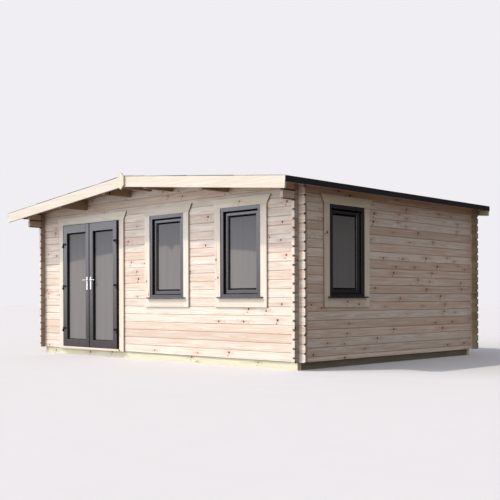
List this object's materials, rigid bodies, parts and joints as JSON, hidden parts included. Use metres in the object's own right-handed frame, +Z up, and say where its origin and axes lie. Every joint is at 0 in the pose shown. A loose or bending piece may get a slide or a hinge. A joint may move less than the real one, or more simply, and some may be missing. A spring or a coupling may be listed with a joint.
{
  "type": "log cabin",
  "caption": "Garden log cabin with interlocking log walls, a low felted double-pitched roof, glazed double doors and tall dark-framed windows.",
  "frame": {"origin": "on the ground, under the middle of the roof", "axes": "+Z up, +X to the right along the front wall, -Y towards the front, which the doors face"},
  "size_m": [6.2, 4.827, 2.6725],
  "materials": {
    "log_wood": "planed spruce logs, untreated",
    "trim_wood": "planed spruce boards, untreated",
    "board_wood": "tongued spruce boards, untreated",
    "treated_wood": "pressure-treated, pale green",
    "painted_wood": "satin anthracite paint",
    "glass": "clear float glass",
    "roofing_felt": "matt black bitumen felt",
    "handle_metal": "satin anodised",
    "hinge_metal": "satin black"
  },
  "bodies": {
    "cabin": {"back_barge_boards": "trim_wood", "back_wall": "log_wood", "door_frame": "painted_wood", "door_threshold": "trim_wood", "door_trim": "trim_wood", "eaves_boards": "board_wood", "end_bearers": "treated_wood", "floor": "board_wood", "floor_joists": "board_wood", "frame_hinges": "hinge_metal", "front_barge_boards": "trim_wood", "front_gable": "log_wood", "front_left_window_frame": "painted_wood", "front_left_window_glass": "glass", "front_left_window_sash": "painted_wood", "front_left_window_trim": "trim_wood", "front_right_window_frame": "painted_wood", "front_right_window_glass": "glass", "front_right_window_sash": "painted_wood", "front_right_window_trim": "trim_wood", "front_wall_left": "log_wood", "front_wall_right": "log_wood", "inner_purlins": "log_wood", "left_wall": "log_wood", "outer_purlins": "log_wood", "ridge_plates": "trim_wood", "ridge_purlin": "log_wood", "right_wall": "log_wood", "roof_boards_left": "board_wood", "roof_boards_right": "board_wood", "roof_felt_left": "roofing_felt", "roof_felt_right": "roofing_felt", "side_bearers": "treated_wood", "side_window_frame": "painted_wood", "side_window_glass": "glass", "side_window_sash": "painted_wood", "side_window_trim": "trim_wood"},
    "left_leaf": {"left_door": "painted_wood", "left_door_backplates": "handle_metal", "left_door_glass": "glass", "left_door_hinges": "hinge_metal"},
    "right_leaf": {"right_door": "painted_wood", "right_door_backplates": "handle_metal", "right_door_glass": "glass", "right_door_hinges": "hinge_metal"},
    "left_lever": {"left_door_levers": "handle_metal"},
    "right_lever": {"right_door_levers": "handle_metal"}
  },
  "joints": [
    {"name": "left_door_hinge", "type": "hinge", "parent": "cabin", "child": "left_leaf", "pos_m": [-2.20029, -1.9105, 1.108], "axis": [0, 0, -1], "range_deg": [0, 110]},
    {"name": "right_door_hinge", "type": "hinge", "parent": "cabin", "child": "right_leaf", "pos_m": [-0.76029, -1.9105, 1.108], "axis": [0, 0, 1], "range_deg": [0, 110]},
    {"name": "left_lever_turn", "type": "hinge", "parent": "left_leaf", "child": "left_lever", "pos_m": [-1.52979, -1.8795, 1.191], "axis": [0, -1, 0], "range_deg": [0, 40], "stiffness_Nm_per_rad": 1.2, "springref_deg": -34.38},
    {"name": "right_lever_turn", "type": "hinge", "parent": "right_leaf", "child": "right_lever", "pos_m": [-1.43079, -1.8795, 1.191], "axis": [0, 1, 0], "range_deg": [0, 40], "stiffness_Nm_per_rad": 1.2, "springref_deg": -34.38}
  ]
}
